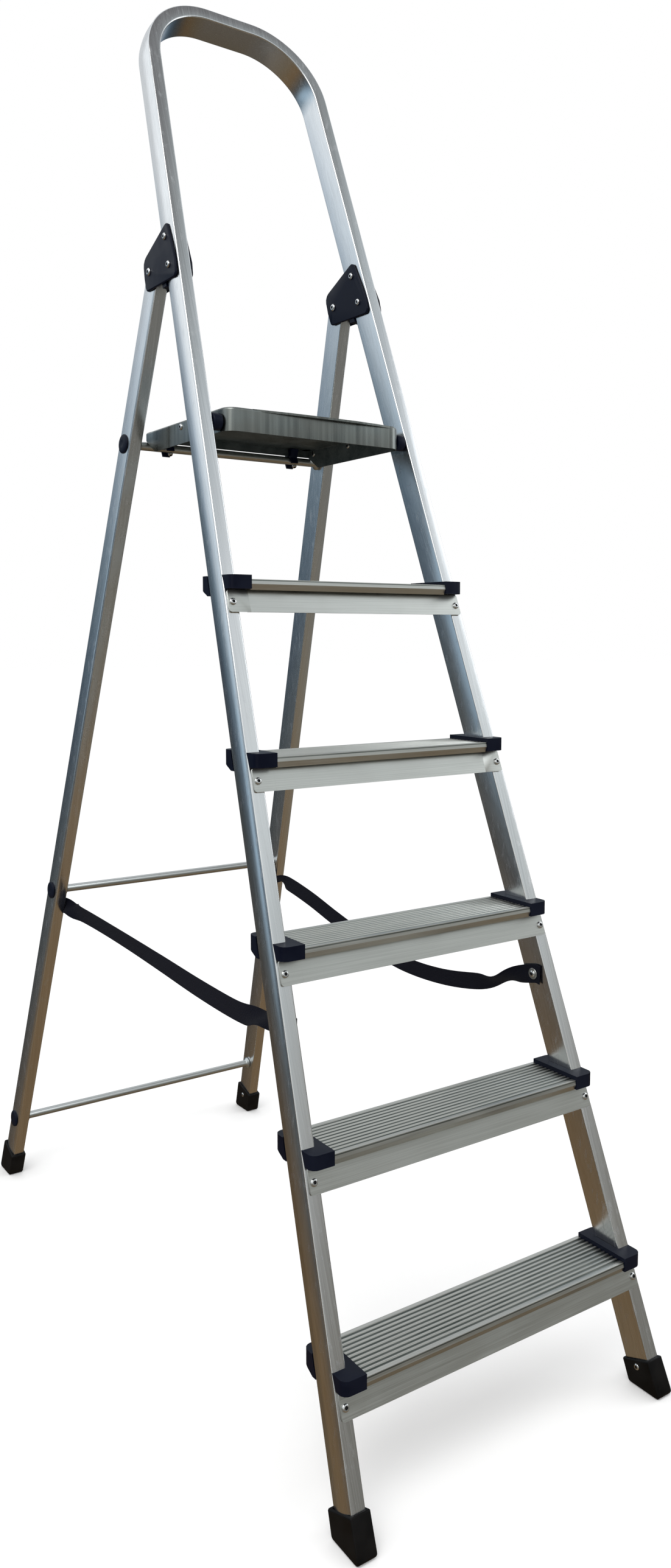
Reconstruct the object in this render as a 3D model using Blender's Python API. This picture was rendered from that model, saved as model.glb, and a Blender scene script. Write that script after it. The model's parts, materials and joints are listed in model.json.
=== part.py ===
"""Aluminium step ladder with five treads, a folding platform and a bent-tube guard rail.

Units are metres, +Z is up and the ladder faces -Y. The origin is on the floor, in the middle
of the four feet. Each named object is one physical piece. The rear frame hangs on an empty at
the leg hinge, and the platform on an empty at its own hinge.
"""

import math

import bmesh
import bpy
from mathutils import Vector

# Driving dimensions
GAP = 0.0003
SKIN = 0.00005
RISE = 0.21
STEP_COUNT = 5
FIRST_RIVET_Z = 0.134
OVERALL_HEIGHT = 1.8257

FRONT_LEAN = math.radians(19.9)
REAR_LEAN = math.radians(18.1)
FRONT_FOOT_Y = -0.5402
REAR_FOOT_Y = 0.5013

TUBE_WIDTH = 0.0185
TUBE_DEPTH = 0.039
TUBE_CORNER = 0.004
TUBE_WALL = 0.0015
TUBE_END_Z = 0.020
LEG_WIDTH = 0.018

STILE_HALF_SPACING = 0.2246
STILE_SPLAY = 0.0519
LEG_HALF_SPACING = 0.2366
BOW_RADIUS = 0.10

HINGE_Z = 1.424
PLATE_CLEARANCE = 0.0009
PLATE_THICKNESS = 0.003
PIN_RADIUS = 0.003
PIN_CLEARANCE = 0.0004

TREAD_TOP = 0.029
TREAD_FRONT = -0.008
TREAD_REAR = 0.071
TREAD_UNDERSIDE = 0.0255
TREAD_END_INSET = 0.0213
NOSE_HEIGHT = 0.013
NOSE_THICKNESS = 0.0025
NOSE_UNDERCUT = 0.0035            # how far the lower half of the nose slopes back
GROOVE_COUNT = 10
GROOVE_WIDTH = 0.0044
GROOVE_DEPTH = 0.0013
FASCIA_BOTTOM = -0.011
FASCIA_TOP = 0.0165
FASCIA_THICKNESS = 0.002
FASCIA_OVERHANG = 0.006
CAP_BOTTOM = 0.009
CAP_TOP = TREAD_TOP + 0.005
CAP_CORNER = 0.009
CAP_TAPER = (0.019, 0.010)       # length and height of the slope under its rear end
RIVET_RADIUS = 0.0019
RIVET_HEAD = 0.0042

PLATFORM_TOP_Z = 1.2235
PLATFORM_FLANGE = 0.030
PLATFORM_HALF_WIDTH = 0.138
PLATFORM_FRONT_Y = -0.113
PLATFORM_REAR_Y = 0.128
PLATFORM_SHEET = 0.0018
PLATFORM_CORNER = 0.018
PLATFORM_AXIS_Y = -0.0945
PLATFORM_AXIS_Z = 1.2055
BUSH_RADIUS = 0.011
HOOK_X = 0.105
HOOK_WIDTH = 0.012

CROSSBAR_RADIUS = 0.006
CROSSBAR_HEIGHTS = {"top": 1.2042, "middle": 0.527, "bottom": 0.104}
COLLAR_RADIUS = 0.0105
BAR_CAP_RADIUS = 0.0135

BOOT_WALL = 0.003
FRONT_BOOT_TOP = 0.043
REAR_BOOT_TOP = 0.037
HALF_LENGTH = 0.546

STRAP_WIDTH = 0.025
STRAP_THICKNESS = 0.0016
STRAP_FRONT_Z = 0.490
STRAP_REAR_Z = 0.502
STRAP_SAG = {"left": 0.022, "right": 0.062}

SIDES = {"left": -1, "right": 1}
UP = Vector((0, 0, 1))
FRONT_TAN = math.tan(FRONT_LEAN)
REAR_TAN = math.tan(REAR_LEAN)
FRONT_UP = Vector((0, math.sin(FRONT_LEAN), math.cos(FRONT_LEAN)))
FRONT_INTO = Vector((0, math.cos(FRONT_LEAN), -math.sin(FRONT_LEAN)))
REAR_INTO = Vector((0, math.cos(REAR_LEAN), math.sin(REAR_LEAN)))


def stile_x(z):
    """X of the centre line of the right-hand front stile, where that line is at height z."""
    return STILE_HALF_SPACING - STILE_SPLAY * z


def stile_y(z, depth=0.0):
    """Y of a plane of the front frame, DEPTH behind its front face, at height z."""
    return FRONT_FOOT_Y + z * FRONT_TAN + depth / math.cos(FRONT_LEAN)


def leg_y(z, depth=0.0):
    """Y of a plane of the rear frame, DEPTH behind its front face, at height z."""
    return REAR_FOOT_Y - z * REAR_TAN + depth / math.cos(REAR_LEAN)


def stile_side_x(y, z):
    """X of the right-hand stile's middle plane, which runs on behind the stile, at (y, z)."""
    behind = (y - stile_y(z, TUBE_DEPTH / 2)) * math.cos(FRONT_LEAN)
    return stile_x(z + behind * math.sin(FRONT_LEAN))


HINGE_Y = leg_y(HINGE_Z, TUBE_DEPTH / 2)
LEG_SPLAY = (LEG_HALF_SPACING - stile_side_x(HINGE_Y, HINGE_Z)) / HINGE_Z


def leg_x(z):
    """X of the centre line of the right-hand rear leg, where that line is at height z."""
    return LEG_HALF_SPACING - LEG_SPLAY * z


def material(name, colour, roughness, metallic):
    made = bpy.data.materials.new(name)
    made.use_nodes = True
    shader = made.node_tree.nodes["Principled BSDF"]
    shader.inputs["Base Color"].default_value = (*colour, 1)
    shader.inputs["Roughness"].default_value = roughness
    shader.inputs["Metallic"].default_value = metallic
    return made


def clear_scene():
    for old in list(bpy.data.objects):
        bpy.data.objects.remove(old, do_unlink=True)


clear_scene()
ALUMINIUM = material("aluminium", (0.72, 0.74, 0.76), 0.34, 1.0)
SHEET = material("platform_sheet", (0.62, 0.64, 0.65), 0.38, 1.0)
ZINC = material("zinc_rod", (0.75, 0.76, 0.78), 0.25, 1.0)
RIVET_STEEL = material("rivet_steel", (0.80, 0.80, 0.80), 0.18, 1.0)
PLASTIC = material("black_plastic", (0.012, 0.015, 0.024), 0.42, 0.0)
WEBBING = material("webbing", (0.008, 0.010, 0.020), 0.85, 0.0)


# Building blocks
def add_object(name, mesh, finish, smooth=True):
    mesh.materials.append(finish)
    if smooth:
        mesh.shade_smooth()
        mesh.set_sharp_from_angle(angle=math.radians(35))
    made = bpy.data.objects.new(name, mesh)
    bpy.context.collection.objects.link(made)
    return made


def mesh_from(vertices, faces):
    """A closed mesh whose faces all point out."""
    mesh = bpy.data.meshes.new("mesh")
    mesh.from_pydata([tuple(v) for v in vertices], [], faces)
    work = bmesh.new()
    work.from_mesh(mesh)
    bmesh.ops.recalc_face_normals(work, faces=work.faces)
    work.to_mesh(mesh)
    work.free()
    return mesh


def loft(rings):
    """A closed mesh through equal rings of points, with its two ends filled."""
    count = len(rings[0])
    vertices = [point for ring in rings for point in ring]
    faces = []
    for start in range(0, len(vertices) - count, count):
        for i in range(count):
            j = (i + 1) % count
            faces.append((start + i, start + j, start + count + j, start + count + i))
    faces.append(tuple(range(count))[::-1])
    faces.append(tuple(range(len(vertices) - count, len(vertices))))
    return mesh_from(vertices, faces)


def tube_loft(outer_rings, inner_rings):
    """A closed tube: outer and inner skins that meet in a ring at each open end."""
    count = len(outer_rings[0])
    skin = len(outer_rings) * count
    vertices = [point for ring in outer_rings + inner_rings for point in ring]
    faces = []
    for start in range(0, skin - count, count):
        for i in range(count):
            j = (i + 1) % count
            quad = (start + i, start + j, start + count + j, start + count + i)
            faces.append(quad)
            faces.append(tuple(skin + k for k in quad[::-1]))
    for start in (0, skin - count):
        for i in range(count):
            j = (i + 1) % count
            faces.append((start + i, start + j, skin + start + j, skin + start + i))
    return mesh_from(vertices, faces)


def prism(outline, to_world, low, high):
    """OUTLINE's (a, b) points carried by to_world(a, b, c) from c = low to c = high."""
    return loft([[to_world(a, b, c) for a, b in outline] for c in (low, high)])


def rounded_outline(corners, radius, steps=3):
    """The polygon CORNERS with each corner replaced by an arc. RADIUS is a number or a list."""
    radii = radius if isinstance(radius, (list, tuple)) else [radius] * len(corners)
    points = []
    for i, (corner, r) in enumerate(zip(corners, radii)):
        here = Vector(corner)
        if r == 0:
            points.append(tuple(here))
            continue
        before = (Vector(corners[i - 1]) - here).normalized()
        after = (Vector(corners[(i + 1) % len(corners)]) - here).normalized()
        half = before.angle(after) / 2
        centre = here + (before + after).normalized() * (r / math.sin(half))
        first = here + before * (r / math.tan(half)) - centre
        last = here + after * (r / math.tan(half)) - centre
        for k in range(steps + 1):
            t = k / steps
            direction = (first * (1 - t) + last * t).normalized()
            points.append(tuple(centre + direction * r))
    return points


def rectangle(width, depth, radius, steps=2):
    w, d = width / 2, depth / 2
    corners = [(-w, -d), (w, -d), (w, d), (-w, d)]
    return rounded_outline(corners, radius, steps) if radius else corners


def ring(centre, across, into, outline):
    return [centre + across * a + into * b for a, b in outline]


def turned(start, direction, profile, sides=14):
    """A solid of revolution: PROFILE is (distance along DIRECTION, radius) from end to end."""
    axis = direction.normalized()
    across = axis.orthogonal().normalized()
    other = axis.cross(across)
    rings = []
    for along, radius in profile:
        turn = [2 * math.pi * k / sides for k in range(sides)]
        centre = start + axis * along
        rings.append([centre + (across * math.cos(t) + other * math.sin(t)) * radius for t in turn])
    return loft(rings)


def join_meshes(meshes):
    """One cutter mesh out of several that don't touch."""
    work = bmesh.new()
    for mesh in meshes:
        work.from_mesh(mesh)
    joined = bpy.data.meshes.new("cutters")
    work.to_mesh(joined)
    work.free()
    return joined


def boolean(target, mesh, operation):
    """A live Boolean on TARGET, with a hidden wire object as the other operand."""
    cutter = bpy.data.objects.new(f"cutter_{target.name}_{len(target.modifiers)}", mesh)
    bpy.context.collection.objects.link(cutter)
    cutter.hide_render = True
    cutter.display_type = "WIRE"
    cut = target.modifiers.new("boolean", "BOOLEAN")
    cut.object = cutter
    cut.operation = operation
    cut.solver = "EXACT"


def hang_on(pieces, pivot):
    """Parent world-space pieces to a pivot empty without moving them."""
    for piece in pieces:
        piece.parent = pivot
        piece.location = -pivot.location


def pivot_empty(name, y, z):
    pivot = bpy.data.objects.new(name, None)
    pivot.location = (0, y, z)
    bpy.context.collection.objects.link(pivot)
    return pivot


# Front frame
def stile_frame(side, z):
    """A point at height z on a stile's centre line, and its section's across direction."""
    centre = Vector((side * stile_x(z), stile_y(z, TUBE_DEPTH / 2), z))
    along = Vector((-side * STILE_SPLAY, FRONT_TAN, 1)).normalized()
    return centre, along.cross(FRONT_INTO).normalized()


def stile_prism(side, low, high, margin):
    """A solid that fills a stile between two heights, larger all round by MARGIN."""
    outline = rectangle(TUBE_WIDTH + 2 * margin, TUBE_DEPTH + 2 * margin, TUBE_CORNER)
    rings = []
    for z in (low, high):
        centre, across = stile_frame(side, z)
        rings.append(ring(centre, across, FRONT_INTO, outline))
    return loft(rings)


def bow_path():
    """Centre line of the bent tube as (x, distance up the slope, across direction) stations."""
    slope = STILE_SPLAY * math.cos(FRONT_LEAN)
    foot_x = STILE_HALF_SPACING + STILE_SPLAY * math.sin(FRONT_LEAN) * TUBE_DEPTH / 2
    turn = math.atan(slope)
    top = OVERALL_HEIGHT / math.cos(FRONT_LEAN) - TUBE_WIDTH / 2
    bend_start = top - BOW_RADIUS + BOW_RADIUS * math.sin(turn)
    bottom = TUBE_END_Z / math.cos(FRONT_LEAN)
    centre_x = foot_x - slope * bend_start - BOW_RADIUS * math.cos(turn)
    half = [(foot_x - slope * bottom, bottom, turn)]
    steps = 7
    for k in range(steps + 1):
        angle = turn + (math.pi / 2 - turn) * k / steps
        x = centre_x + BOW_RADIUS * math.cos(angle)
        half.append((x, top - BOW_RADIUS + BOW_RADIUS * math.sin(angle), angle))
    right = [(x, s, Vector((math.cos(a), 0, 0)) + FRONT_UP * math.sin(a)) for x, s, a in half]
    left = [(-x, s, Vector((math.cos(a), 0, 0)) - FRONT_UP * math.sin(a)) for x, s, a in half]
    left.reverse()
    return right + [(x, s, -across) for x, s, across in left]


def step_rivet_point(step, side):
    z = FIRST_RIVET_Z + RISE * step
    return Vector((side * stile_x(z), stile_y(z), z))


def hinge_rivet_points(side):
    """The two fixed rivets of a hinge plate, in the middle of the stile."""
    heights = {"upper": 1.4575, "lower": 1.418}
    return {k: Vector((side * stile_x(z), stile_y(z, TUBE_DEPTH / 2), z)) for k, z in heights.items()}


def hinge_pin_point(side):
    return Vector((side * leg_x(HINGE_Z), HINGE_Y, HINGE_Z))


def platform_pin_start(side):
    """Just inside the stile's hollow, on the platform's hinge axis."""
    x = stile_x(PLATFORM_AXIS_Z) - TUBE_WIDTH / 2 + TUBE_WALL + 0.0008
    return Vector((side * x, PLATFORM_AXIS_Y, PLATFORM_AXIS_Z))


def hole(start, direction, length, radius):
    return turned(start, direction, [(0, radius), (length, radius)], 12)


def frame_holes():
    """Holes for the step rivets, the hinge rivets and the platform pins."""
    holes = []
    for side in SIDES.values():
        for step in range(STEP_COUNT):
            start = step_rivet_point(step, side) - FRONT_INTO * 0.004
            holes.append(hole(start, FRONT_INTO, 0.008, RIVET_RADIUS + GAP))
        for point in hinge_rivet_points(side).values():
            start = point - Vector((0.02, 0, 0))
            holes.append(hole(start, Vector((1, 0, 0)), 0.04, RIVET_RADIUS + GAP))
        start = platform_pin_start(side) + Vector((side * 0.002, 0, 0))
        holes.append(hole(start, Vector((-side, 0, 0)), 0.012, PIN_RADIUS + PIN_CLEARANCE))
    return join_meshes(holes)


def make_front_frame():
    outer = rectangle(TUBE_WIDTH, TUBE_DEPTH, TUBE_CORNER)
    bore = rectangle(TUBE_WIDTH - 2 * TUBE_WALL, TUBE_DEPTH - 2 * TUBE_WALL, TUBE_CORNER - TUBE_WALL)
    outer_rings, inner_rings = [], []
    for x, s, across in bow_path():
        centre = Vector((x, FRONT_FOOT_Y, 0)) + FRONT_UP * s + FRONT_INTO * (TUBE_DEPTH / 2)
        outer_rings.append(ring(centre, across, FRONT_INTO, outer))
        inner_rings.append(ring(centre, across, FRONT_INTO, bore))
    frame = add_object("front_frame", tube_loft(outer_rings, inner_rings), ALUMINIUM)
    boolean(frame, frame_holes(), "DIFFERENCE")


# Steps
def fascia_y(z, back=False):
    """Y of the fascia's front or back face, from the step's own origin."""
    depth = -GAP if back else -GAP - FASCIA_THICKNESS
    return z * FRONT_TAN + depth / math.cos(FRONT_LEAN)


def tread_outline():
    """The extrusion's section as (y, z): nose, fascia, bottom lip, rear flange, ribbed top."""
    nose_low = TREAD_TOP - NOSE_HEIGHT
    nose_crease = TREAD_TOP - 0.45 * NOSE_HEIGHT
    nose_foot = TREAD_FRONT + NOSE_UNDERCUT
    nose_back = nose_foot + NOSE_THICKNESS
    lip = 0.008
    sheet = FASCIA_THICKNESS
    rear_low = TREAD_TOP - 0.017
    lip_y = fascia_y(FASCIA_BOTTOM, True)
    points = [
        (TREAD_FRONT + 0.001, TREAD_TOP), (TREAD_FRONT, nose_crease),
        (nose_foot, nose_low), (nose_back, nose_low),
        (nose_back, TREAD_UNDERSIDE), (fascia_y(TREAD_UNDERSIDE), TREAD_UNDERSIDE),
        (fascia_y(FASCIA_BOTTOM), FASCIA_BOTTOM), (lip_y + lip, FASCIA_BOTTOM),
        (lip_y + lip, FASCIA_BOTTOM + sheet),
        (fascia_y(FASCIA_BOTTOM + sheet, True), FASCIA_BOTTOM + sheet),
        (fascia_y(TREAD_UNDERSIDE, True), TREAD_UNDERSIDE),
        (TREAD_REAR - sheet, TREAD_UNDERSIDE), (TREAD_REAR - sheet, rear_low),
        (TREAD_REAR, rear_low), (TREAD_REAR, TREAD_TOP),
    ]
    front_band, rear_band = 0.006, 0.004
    pitch = (TREAD_REAR - TREAD_FRONT - front_band - rear_band) / GROOVE_COUNT
    for k in reversed(range(GROOVE_COUNT)):
        middle = TREAD_FRONT + front_band + pitch * (k + 0.5)
        for side, z in ((1, 0), (0.8, -GROOVE_DEPTH), (-0.8, -GROOVE_DEPTH), (-1, 0)):
            points.append((middle + side * GROOVE_WIDTH / 2, TREAD_TOP + z))
    return points


def step_origin(step):
    z = FIRST_RIVET_Z + RISE * step
    return Vector((0, stile_y(z), z))


def tread_half(step):
    return stile_x(step_origin(step).z + TREAD_TOP) - TREAD_END_INSET


def make_step(step):
    origin = step_origin(step)
    half = tread_half(step)

    def section(y, z, x):
        return origin + Vector((x, y, z))

    tread = prism(tread_outline(), section, -half, half)
    body = add_object(f"step_{step + 1}", tread, ALUMINIUM)
    ends = {z: stile_x(origin.z + z) + FASCIA_OVERHANG for z in (FASCIA_BOTTOM, FASCIA_TOP)}
    low, high = ends[FASCIA_BOTTOM], ends[FASCIA_TOP]
    bottom = FASCIA_BOTTOM + SKIN
    corners = [(-low, bottom), (low, bottom), (high, FASCIA_TOP), (-high, FASCIA_TOP)]

    def plate(x, z, back):
        shift = -SKIN if back else SKIN
        return origin + Vector((x, fascia_y(z, back) + shift, z))

    boolean(body, prism(rounded_outline(corners, 0.003, 2), plate, 0, 1), "UNION")
    starts = [step_rivet_point(step, side) - FRONT_INTO * 0.006 for side in SIDES.values()]
    holes = [hole(start, FRONT_INTO, 0.010, RIVET_RADIUS + GAP) for start in starts]
    boolean(body, join_meshes(holes), "DIFFERENCE")


def make_step_cap(step, name, side):
    """Plastic end of a tread: a web beside the stile and a lobe before and behind it."""
    origin = step_origin(step)
    front = TREAD_FRONT - 0.001
    rear = TREAD_REAR - 0.001
    inner = tread_half(step) + GAP
    outer = stile_x(origin.z + TREAD_TOP) + TUBE_WIDTH / 2 - 0.0008
    lobe = FASCIA_TOP + 2 * GAP
    behind = GAP / math.cos(FRONT_LEAN)
    side_outline = [
        (front, CAP_TOP), (front, lobe), (fascia_y(lobe, True) + 2 * behind, lobe),
        (fascia_y(CAP_BOTTOM, True) + 2 * behind, CAP_BOTTOM), (rear - CAP_TAPER[0], CAP_BOTTOM),
        (rear, CAP_BOTTOM + CAP_TAPER[1]), (rear, CAP_TOP),
    ]
    plan = rounded_outline(
        [(inner, front), (outer, front), (outer, rear), (inner, rear)],
        [0, CAP_CORNER, CAP_CORNER, 0], 4)

    def from_side(y, z, x):
        return origin + Vector((side * x, y, z))

    def from_plan(x, y, z):
        return origin + Vector((side * x, y, z))

    block = prism(side_outline, from_side, inner, outer)
    cap = add_object(f"step_cap_{step + 1}_{name}", block, PLASTIC)
    boolean(cap, prism(plan, from_plan, CAP_BOTTOM - 0.01, CAP_TOP + 0.01), "INTERSECT")
    boolean(cap, stile_prism(side, origin.z - 0.03, origin.z + 0.06, GAP), "DIFFERENCE")


def make_step_rivet(step, name, side):
    """Dome-headed rivet through the fascia and the stile's front wall."""
    seat = FASCIA_THICKNESS + 2 * GAP
    profile = [
        (-seat - 0.0022, 0.0012), (-seat - 0.0016, 0.0030), (-seat - 0.0005, RIVET_HEAD),
        (-seat, RIVET_HEAD), (-seat, RIVET_RADIUS), (0.0035, RIVET_RADIUS),
    ]
    mesh = turned(step_rivet_point(step, side), FRONT_INTO, profile, 12)
    add_object(f"step_rivet_{step + 1}_{name}", mesh, RIVET_STEEL)


# Hinges
def plate_outline():
    """Kite-shaped hinge plate seen from the side, as (y, z) points."""
    corners = [
        (stile_y(1.477, 0.010), 1.477), (stile_y(1.4200, 0.0015), 1.4200),
        (stile_y(1.3985, 0.0045), 1.3985), (stile_y(1.3995, 0.0930), 1.3995),
        (stile_y(1.4180, 0.0935), 1.4180), (stile_y(1.4435, 0.0905), 1.4435),
    ]
    return rounded_outline(corners, [0.007, 0.02, 0.006, 0.007, 0.02, 0.012], 3)


def shrunk(outline, amount):
    """OUTLINE pulled in towards its middle by about AMOUNT."""
    middle = sum((Vector(p) for p in outline), Vector((0, 0))) / len(outline)
    return [tuple(Vector(p) - (Vector(p) - middle).normalized() * amount) for p in outline]


def make_hinge_plate(name, side, place):
    """PLACE is 1 for the plate on the stile's outer face and -1 for the inner one."""
    near = TUBE_WIDTH / 2 + PLATE_CLEARANCE
    rim = near + PLATE_THICKNESS - 0.0011
    face = near + PLATE_THICKNESS
    outline = plate_outline()

    def at(points, offset):
        return [Vector((side * (stile_side_x(y, z) + place * offset), y, z)) for y, z in points]

    rings = [at(outline, near), at(outline, rim), at(shrunk(outline, 0.0015), face)]
    label = "outer" if place == 1 else "inner"
    plate = add_object(f"hinge_plate_{label}_{name}", loft(rings), PLASTIC)
    if place == -1:
        boolean(plate, stop_block(side, near), "UNION")
    points = [*hinge_rivet_points(side).values()]
    starts = [p - Vector((0.03, 0, 0)) for p in points]
    holes = [hole(start, Vector((1, 0, 0)), 0.06, RIVET_RADIUS + GAP) for start in starts]
    start = hinge_pin_point(side) - Vector((0.03, 0, 0))
    holes.append(hole(start, Vector((1, 0, 0)), 0.06, PIN_RADIUS + PIN_CLEARANCE))
    boolean(plate, join_meshes(holes), "DIFFERENCE")


def stop_block(side, near):
    """Spacer moulded on the inner plate, which fills the slot behind the stile."""
    low, high = 1.3935, 1.4120
    front, back = TUBE_DEPTH + 2 * GAP, TUBE_DEPTH + 0.0115

    def corner(z, depth, across):
        y = stile_y(z, depth)
        return Vector((side * (stile_side_x(y, z) + across), y, z))

    outline = [(low, front), (high, front), (high, back), (low, back)]
    return prism(outline, corner, -near - 0.001, near - GAP)


def pin_profile(half, radius, head):
    """A pin with a dome head at each end, as (distance from its middle, radius)."""
    dome = [(half, head), (half + 0.0008, head), (half + 0.0020, head * 0.72), (half + 0.0026, head * 0.3)]
    shank = [(-half, radius), (half, radius)]
    return [(-a, r) for a, r in reversed(dome)] + shank + dome


def make_hinge_pins(name, side):
    half = TUBE_WIDTH / 2 + PLATE_CLEARANCE + PLATE_THICKNESS + 0.0005
    rivet = pin_profile(half, RIVET_RADIUS, 0.0042)
    for label, point in hinge_rivet_points(side).items():
        mesh = turned(point, Vector((1, 0, 0)), rivet, 12)
        add_object(f"hinge_rivet_{label}_{name}", mesh, RIVET_STEEL)
    mesh = turned(hinge_pin_point(side), Vector((1, 0, 0)), pin_profile(half, PIN_RADIUS, 0.0048), 12)
    add_object(f"hinge_pin_{name}", mesh, RIVET_STEEL)


# Rear frame
def leg_frame(side, z):
    """A point at height z on a leg's centre line, and its section's across direction."""
    centre = Vector((side * leg_x(z), leg_y(z, TUBE_DEPTH / 2), z))
    along = Vector((-side * LEG_SPLAY, -REAR_TAN, 1)).normalized()
    return centre, along.cross(REAR_INTO).normalized()


def leg_rings(side, heights, outline):
    frames = [leg_frame(side, z) for z in heights]
    return [ring(centre, across, REAR_INTO, outline) for centre, across in frames]


def make_rear_leg(name, side):
    outer = rectangle(LEG_WIDTH, TUBE_DEPTH, TUBE_CORNER)
    bore = rectangle(LEG_WIDTH - 2 * TUBE_WALL, TUBE_DEPTH - 2 * TUBE_WALL, TUBE_CORNER - TUBE_WALL)
    heights = (TUBE_END_Z - 0.006, HINGE_Z + 0.013)
    mesh = tube_loft(leg_rings(side, heights, outer), leg_rings(side, heights, bore))
    leg = add_object(f"rear_leg_{name}", mesh, ALUMINIUM)
    inward = Vector((-side, 0, 0))
    holes = [hole(hinge_pin_point(side) - inward * 0.02, inward, 0.04, PIN_RADIUS + PIN_CLEARANCE)]
    for z in CROSSBAR_HEIGHTS.values():
        start = Vector((side * (leg_x(z) + 0.02), leg_y(z, TUBE_DEPTH / 2), z))
        holes.append(hole(start, inward, 0.04, CROSSBAR_RADIUS + PIN_CLEARANCE))
    boolean(leg, join_meshes(holes), "DIFFERENCE")
    return leg


def make_crossbar(name, z):
    """Round bar through both legs, with a pressed collar against each leg's inner face."""
    middle = Vector((0, leg_y(z, TUBE_DEPTH / 2), z))
    face = leg_x(z) - LEG_WIDTH / 2
    end = leg_x(z) + LEG_WIDTH / 2
    collar = face - 0.0010
    half = [
        (collar - 0.0035, CROSSBAR_RADIUS), (collar - 0.0028, COLLAR_RADIUS),
        (collar, COLLAR_RADIUS), (collar, CROSSBAR_RADIUS), (end, CROSSBAR_RADIUS),
    ]
    profile = [(-a, r) for a, r in reversed(half)] + half
    mesh = turned(middle, Vector((1, 0, 0)), profile, 16)
    return add_object(f"crossbar_{name}", mesh, ZINC)


def make_crossbar_cap(bar, z, name, side):
    """Domed plastic disc over the crossbar's end, on the leg's sloping outer face."""
    centre, across = leg_frame(side, z)
    outward = across if across.x * side > 0 else -across
    start = centre + outward * (LEG_WIDTH / 2)
    profile = [(2 * GAP, BAR_CAP_RADIUS)]
    for k in range(1, 5):
        angle = math.radians(22 * k)
        along = 2 * GAP + 0.0012 + 0.0022 * math.sin(angle)
        profile.append((along, BAR_CAP_RADIUS * math.cos(angle) ** 0.5))
    profile.insert(1, (2 * GAP + 0.0012, BAR_CAP_RADIUS))
    return add_object(f"crossbar_cap_{bar}_{name}", turned(start, outward, profile, 18), PLASTIC)


# Feet
def make_boot(name, side, rear):
    """A plastic boot around the tube's end, flat on the floor, with an open pocket for it."""
    width = (LEG_WIDTH if rear else TUBE_WIDTH) + 2 * (GAP + BOOT_WALL)
    wall = GAP + BOOT_WALL
    plane = leg_y if rear else stile_y
    spacing = leg_x if rear else stile_x
    slope = math.tan(REAR_LEAN) if rear else -math.tan(FRONT_LEAN)
    top = REAR_BOOT_TOP if rear else FRONT_BOOT_TOP
    front_y, back_y = plane(0, -wall), plane(0, TUBE_DEPTH + wall)
    if rear:
        back_y = HALF_LENGTH
    else:
        front_y = -HALF_LENGTH
    top_back = top + slope * (TUBE_DEPTH + 2 * wall)
    corners = [
        (front_y, 0), (back_y, 0), (plane(top_back, TUBE_DEPTH + wall), top_back), (plane(top, -wall), top),
    ]
    outline = rounded_outline(corners, [0.004, 0.004, 0.0015, 0.0015], 3)

    def at(y, z, across):
        return Vector((side * (spacing(z) + across), y, z))

    rings = []
    for across, inset in ((-0.5, 0.0014), (-0.43, 0), (0.43, 0), (0.5, 0.0014)):
        points = shrunk(outline, inset) if inset else outline
        rings.append([at(y, max(z, 0), across * width) for y, z in points])
    label = "rear_foot" if rear else "front_foot"
    boot = add_object(f"{label}_{name}", loft(rings), PLASTIC)
    outline = rectangle((LEG_WIDTH if rear else TUBE_WIDTH) + 2 * GAP, TUBE_DEPTH + 2 * GAP, TUBE_CORNER)
    frame = leg_frame if rear else stile_frame
    into = REAR_INTO if rear else FRONT_INTO
    floor = TUBE_END_Z - (0.007 if rear else 0.0075)
    pocket = [ring(*frame(side, z), into, outline) for z in (floor, top + 0.05)]
    boolean(boot, loft(pocket), "DIFFERENCE")
    return boot


# Platform
def box_mesh(low, high):
    (x0, y0, z0), (x1, y1, z1) = low, high
    outline = [(x0, y0), (x1, y0), (x1, y1), (x0, y1)]
    return prism(outline, lambda x, y, z: Vector((x, y, z)), z0, z1)


def platform_plan(inset, rear):
    half = PLATFORM_HALF_WIDTH - inset
    front = PLATFORM_FRONT_Y + inset
    corners = [(-half, front), (half, front), (half, rear), (-half, rear)]
    radius = PLATFORM_CORNER - inset
    return rounded_outline(corners, [radius, radius, 0, 0], 5)


def platform_grooves():
    """Shallow grip grooves across the platform's top."""
    first, last, count = PLATFORM_FRONT_Y + 0.024, PLATFORM_REAR_Y - 0.016, 15
    half = PLATFORM_HALF_WIDTH - 0.014
    cuts = []
    for k in range(count):
        y = first + (last - first) * k / (count - 1)
        low = (-half, y - 0.002, PLATFORM_TOP_Z - 0.0006)
        cuts.append(box_mesh(low, (half, y + 0.002, PLATFORM_TOP_Z + 0.001)))
    return join_meshes(cuts)


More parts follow.
